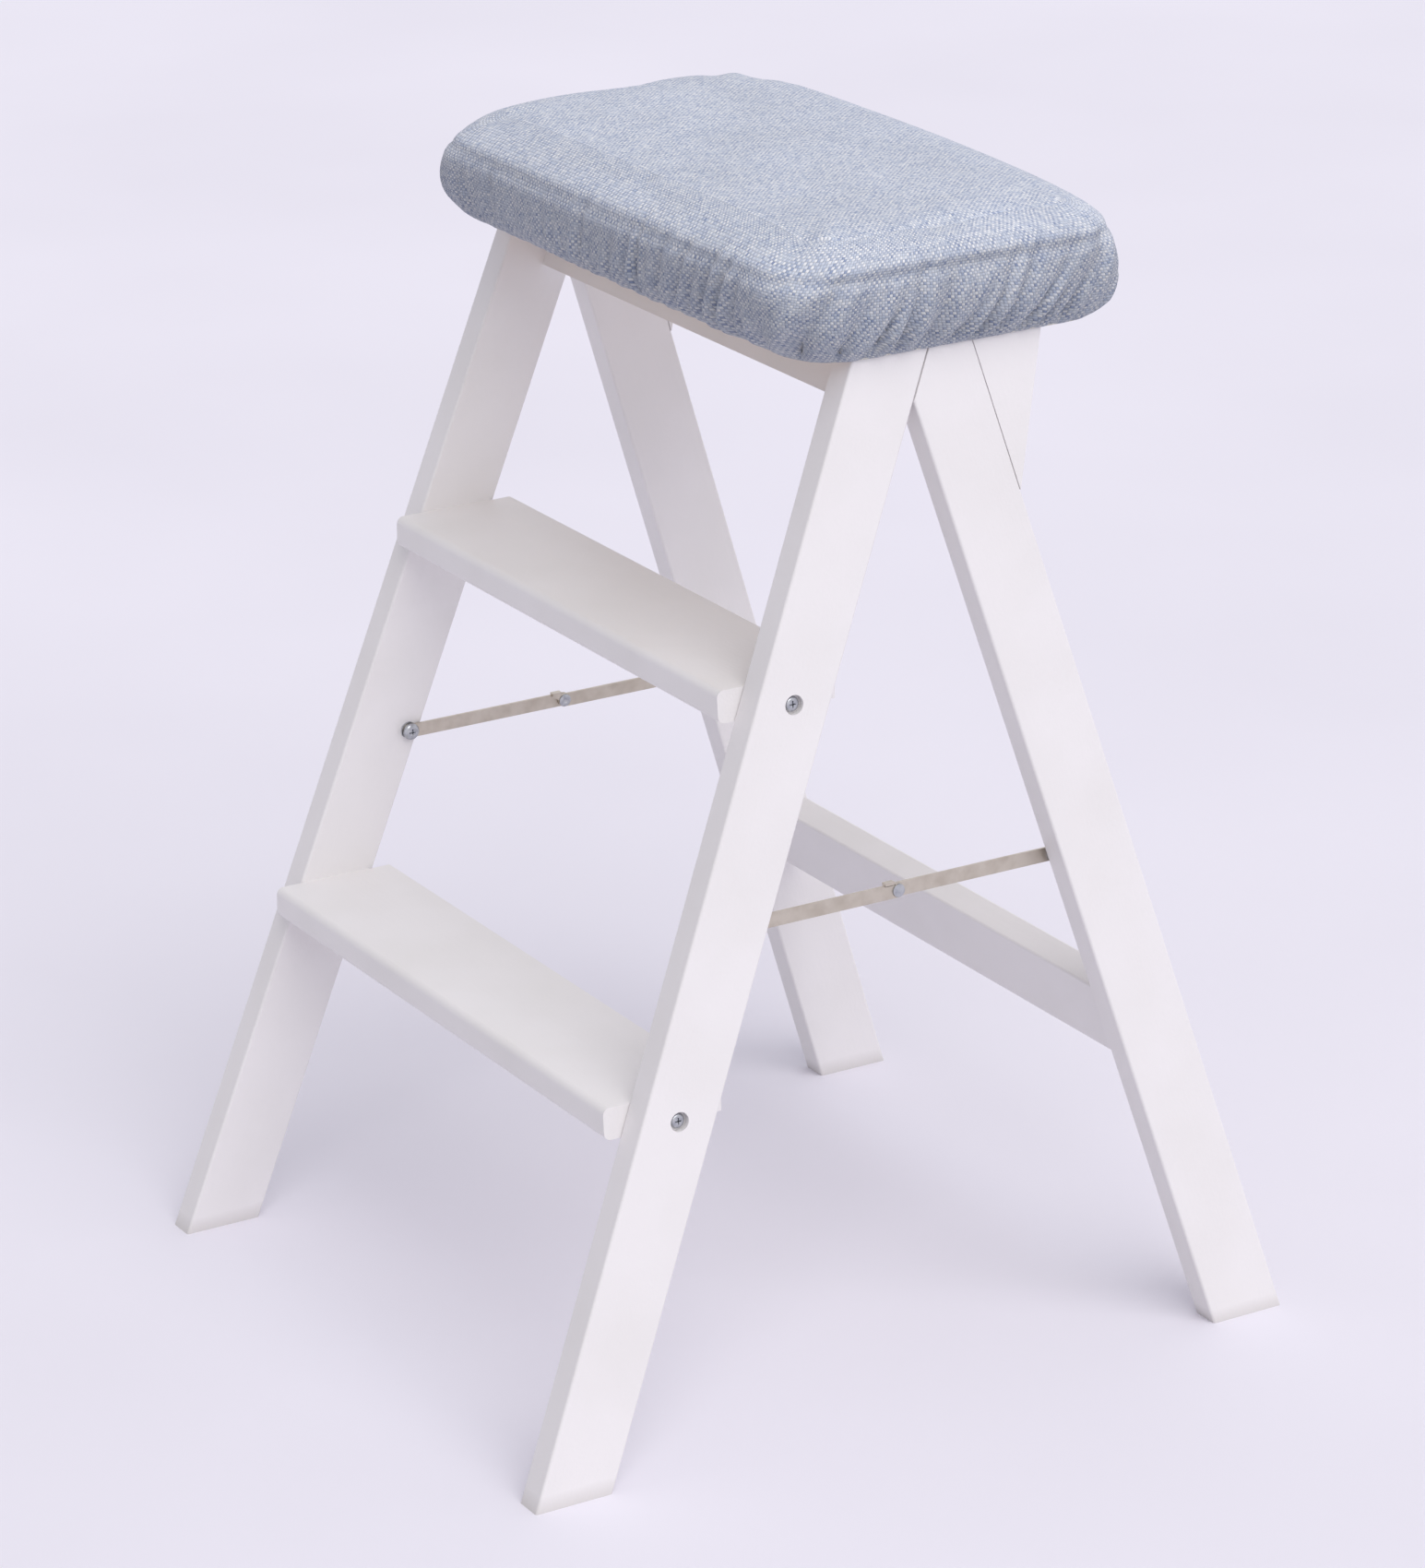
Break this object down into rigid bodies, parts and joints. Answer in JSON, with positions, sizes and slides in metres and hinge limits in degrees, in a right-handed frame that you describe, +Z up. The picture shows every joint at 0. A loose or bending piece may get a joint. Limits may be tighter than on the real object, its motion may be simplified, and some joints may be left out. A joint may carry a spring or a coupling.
{
  "type": "folding step stool",
  "caption": "Folding step stool: hinged A-frame of painted boards with treads between splayed front stiles, folding metal stays and a padded fabric seat on top.",
  "frame": {"origin": "middle of the four feet, on the floor", "axes": "+X across the stool along the treads, -Y to the side that is climbed, +Z up"},
  "size_m": [0.444, 0.4838, 0.655],
  "materials": {
    "painted_wood": "satin white paint over softwood",
    "plywood": "bare plywood",
    "beech": "bare beech",
    "nickel_steel": "satin nickel plate",
    "zinc_steel": "bright zinc plate",
    "woven_cover": "grey-blue melange weave",
    "foam": "open-cell foam",
    "elastic": "covered elastic cord"
  },
  "bodies": {
    "front_frame": {"stile_left": "painted_wood", "stile_right": "painted_wood", "tread_lower": "painted_wood", "tread_upper": "painted_wood", "hinge_rail_front": "painted_wood", "rail_dowels_front": "beech", "tread_screws": "zinc_steel", "seat_board": "plywood", "seat_pad": "foam", "seat_cover": "woven_cover", "cover_elastic": "elastic", "seat_screws": "zinc_steel", "hinge_leaf_front_left": "nickel_steel", "hinge_leaf_front_right": "nickel_steel", "hinge_pin_left": "nickel_steel", "hinge_pin_right": "nickel_steel", "hinge_screws_front": "nickel_steel", "stay_front_screws": "nickel_steel"},
    "rear_frame": {"leg_left": "painted_wood", "leg_right": "painted_wood", "wedge_left": "painted_wood", "wedge_right": "painted_wood", "wedge_screws": "zinc_steel", "hinge_rail_rear": "painted_wood", "rail_dowels_rear": "beech", "crossbar": "painted_wood", "crossbar_dowels": "beech", "hinge_leaf_rear_left": "nickel_steel", "hinge_leaf_rear_right": "nickel_steel", "hinge_screws_rear": "nickel_steel"},
    "stay_front_left": {"stay_front_link_left": "nickel_steel", "stay_rivet_left": "nickel_steel"},
    "stay_rear_left": {"stay_rear_link_left": "nickel_steel", "stay_rear_screw_left": "nickel_steel"},
    "stay_front_right": {"stay_front_link_right": "nickel_steel", "stay_rivet_right": "nickel_steel"},
    "stay_rear_right": {"stay_rear_link_right": "nickel_steel", "stay_rear_screw_right": "nickel_steel"}
  },
  "joints": [
    {"name": "rear_frame_fold", "type": "hinge", "parent": "front_frame", "child": "rear_frame", "pos_m": [0, 0.01957, 0.557], "axis": [-1, 0, 0], "range_deg": [0, 38.1]},
    {"name": "stay_front_pivot_left", "type": "hinge", "parent": "front_frame", "child": "stay_front_left", "pos_m": [-0.18809, -0.09122, 0.291], "axis": [0.9985, 0, -0.0545], "range_deg": [0, 83.56]},
    {"name": "stay_rivet_pivot_left", "type": "hinge", "parent": "stay_front_left", "child": "stay_rear_left", "pos_m": [-0.18809, 0.01037, 0.291], "axis": [0.9985, 0, -0.0545], "range_deg": [-169.08, 0]},
    {"name": "stay_front_pivot_right", "type": "hinge", "parent": "front_frame", "child": "stay_front_right", "pos_m": [0.18809, -0.09122, 0.291], "axis": [0.9985, 0, 0.0545], "range_deg": [0, 83.56]},
    {"name": "stay_rivet_pivot_right", "type": "hinge", "parent": "stay_front_right", "child": "stay_rear_right", "pos_m": [0.18809, 0.01037, 0.291], "axis": [0.9985, 0, 0.0545], "range_deg": [-169.08, 0]}
  ],
  "couplings": [
    {"joint": "stay_front_pivot_left", "follows": "rear_frame_fold", "ratio": 2.1927},
    {"joint": "stay_rivet_pivot_left", "follows": "rear_frame_fold", "ratio": -4.4373},
    {"joint": "stay_front_pivot_right", "follows": "rear_frame_fold", "ratio": 2.1927},
    {"joint": "stay_rivet_pivot_right", "follows": "rear_frame_fold", "ratio": -4.4373}
  ]
}
